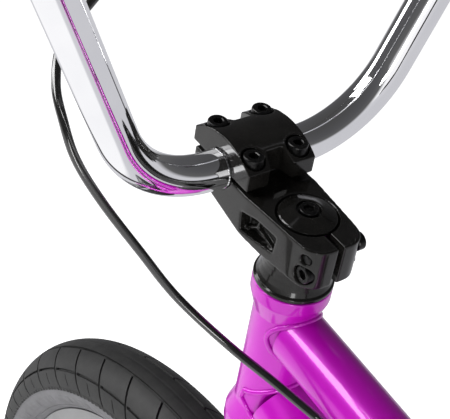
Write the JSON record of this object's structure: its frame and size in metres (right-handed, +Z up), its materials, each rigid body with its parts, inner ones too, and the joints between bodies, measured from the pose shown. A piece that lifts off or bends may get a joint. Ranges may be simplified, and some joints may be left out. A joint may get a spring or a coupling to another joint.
{
  "type": "bmx bike",
  "caption": "BMX bike: welded frame, chrome bars in a top-load stem, spoked wheels, one rear rim brake, single-speed chain drive and pivot saddle.",
  "frame": {"origin": "on the ground, midway between the axles, on the bike's centre plane", "axes": "+X ahead, +Y to the rider's left, +Z up"},
  "size_m": [1.4608, 0.7358, 0.9528],
  "materials": {
    "frame_paint": "candy magenta over a metallic base, gloss",
    "black_gloss": "gloss black",
    "chrome_plate": "mirror chrome",
    "steel_bare": "bright zinc plate",
    "bolt_black": "black oxide",
    "tyre_rubber": "matt rubber",
    "rim_alloy": "satin anodised",
    "hub_alloy": "black anodised",
    "rubber_grip": "soft rubber",
    "plastic_black": "moulded plastic",
    "cable_black": "smooth PVC",
    "saddle_cover": "padded cover"
  },
  "bodies": {
    "frame": {"head_tube": "frame_paint", "top_tube": "frame_paint", "down_tube": "frame_paint", "seat_tube": "frame_paint", "bottom_bracket_shell": "frame_paint", "chain_stays": "frame_paint", "seat_stays": "frame_paint", "dropouts": "frame_paint", "headset_bearings": "steel_bare", "bottom_bracket_bearings": "steel_bare", "seat_clamp": "black_gloss", "seat_clamp_bolt": "steel_bare", "rear_axle": "steel_bare", "rear_axle_nuts": "steel_bare", "chain": "steel_bare", "brake_cable_frame": "cable_black"},
    "steering": {"fork_steerer": "frame_paint", "fork_legs": "frame_paint", "headset_top_cap": "black_gloss", "stem_body": "black_gloss", "clamp_plate": "black_gloss", "clamp_bolts": "bolt_black", "pinch_bolts": "bolt_black", "preload_cap": "black_gloss", "preload_bolt": "bolt_black", "handlebar": "chrome_plate", "crossbar": "chrome_plate", "grips": "rubber_grip", "bar_plugs": "plastic_black", "lever_bracket": "black_gloss", "lever_pin": "steel_bare", "front_axle": "steel_bare", "front_axle_nuts": "steel_bare", "brake_cable_bars": "cable_black", "brake_cable_loop": "cable_black"},
    "brake_lever": {"brake_lever": "black_gloss"},
    "brake_arm_left": {"brake_arm_left": "black_gloss"},
    "brake_arm_right": {"brake_arm_right": "black_gloss"},
    "front_wheel": {"front_tyre": "tyre_rubber", "front_rim": "rim_alloy", "front_spokes": "steel_bare", "front_hub": "hub_alloy", "front_hub_bearings": "steel_bare"},
    "rear_wheel": {"rear_tyre": "tyre_rubber", "rear_rim": "rim_alloy", "rear_spokes": "steel_bare", "rear_hub": "hub_alloy", "rear_hub_bearings": "steel_bare"},
    "driver": {"driver": "steel_bare"},
    "crank": {"crank_spindle": "steel_bare", "crank_arms": "black_gloss", "sprocket": "black_gloss", "crank_bolts": "steel_bare", "pedal_axles": "steel_bare"},
    "pedal_left": {"pedal_left": "plastic_black"},
    "pedal_right": {"pedal_right": "plastic_black"},
    "seat": {"seat_post": "black_gloss"},
    "saddle": {"saddle_base": "plastic_black", "saddle_pad": "saddle_cover", "saddle_pivot_bolt": "steel_bare"}
  },
  "joints": [
    {"name": "steering_turn", "type": "hinge", "parent": "frame", "child": "steering", "pos_m": [0.32667, 0, 0.66315], "axis": [-0.2672, 0, 0.9636], "range_deg": [-70, 70], "deforming": ["brake_cable_loop"]},
    {"name": "lever_pull", "type": "hinge", "parent": "steering", "child": "brake_lever", "pos_m": [0.33224, -0.22133, 0.93813], "axis": [0.2608, -0.0336, -0.9648], "range_deg": [0, 18], "stiffness_Nm_per_rad": 1.5, "springref_deg": -11.46},
    {"name": "arm_left_close", "type": "hinge", "parent": "frame", "child": "brake_arm_left", "pos_m": [-0.28487, 0.037, 0.40078], "axis": [-0.5542, 0, 0.8324], "range_deg": [0, 2.2]},
    {"name": "arm_right_close", "type": "hinge", "parent": "frame", "child": "brake_arm_right", "pos_m": [-0.28487, -0.037, 0.40078], "axis": [-0.5542, 0, 0.8324], "range_deg": [-2.2, 0]},
    {"name": "front_wheel_spin", "type": "hinge", "parent": "steering", "child": "front_wheel", "pos_m": [0.473, 0, 0.2575], "axis": [0, 1, 0], "continuous": true},
    {"name": "rear_wheel_spin", "type": "hinge", "parent": "frame", "child": "rear_wheel", "pos_m": [-0.473, 0, 0.2575], "axis": [0, 1, 0], "continuous": true},
    {"name": "crank_spin", "type": "hinge", "parent": "frame", "child": "crank", "pos_m": [-0.128, 0, 0.292], "axis": [0, 1, 0], "continuous": true, "deforming": ["chain"]},
    {"name": "driver_spin", "type": "hinge", "parent": "frame", "child": "driver", "pos_m": [-0.473, 0, 0.2575], "axis": [0, 1, 0], "continuous": true},
    {"name": "pedal_left_spin", "type": "hinge", "parent": "crank", "child": "pedal_left", "pos_m": [-0.303, 0.134, 0.292], "axis": [0, 1, 0], "continuous": true},
    {"name": "pedal_right_spin", "type": "hinge", "parent": "crank", "child": "pedal_right", "pos_m": [0.047, -0.134, 0.292], "axis": [0, 1, 0], "continuous": true},
    {"name": "seat_height", "type": "slide", "parent": "frame", "child": "seat", "axis": [-0.3256, 0, 0.9455], "range_m": [-0.025, 0.025]},
    {"name": "saddle_tilt", "type": "hinge", "parent": "seat", "child": "saddle", "pos_m": [-0.21771, 0, 0.55255], "axis": [0, 1, 0], "range_deg": [-10, 15]}
  ],
  "couplings": [
    {"joint": "arm_left_close", "follows": "lever_pull", "ratio": 0.12222},
    {"joint": "arm_right_close", "follows": "lever_pull", "ratio": -0.12222},
    {"joint": "driver_spin", "follows": "crank_spin", "ratio": 2.8}
  ]
}
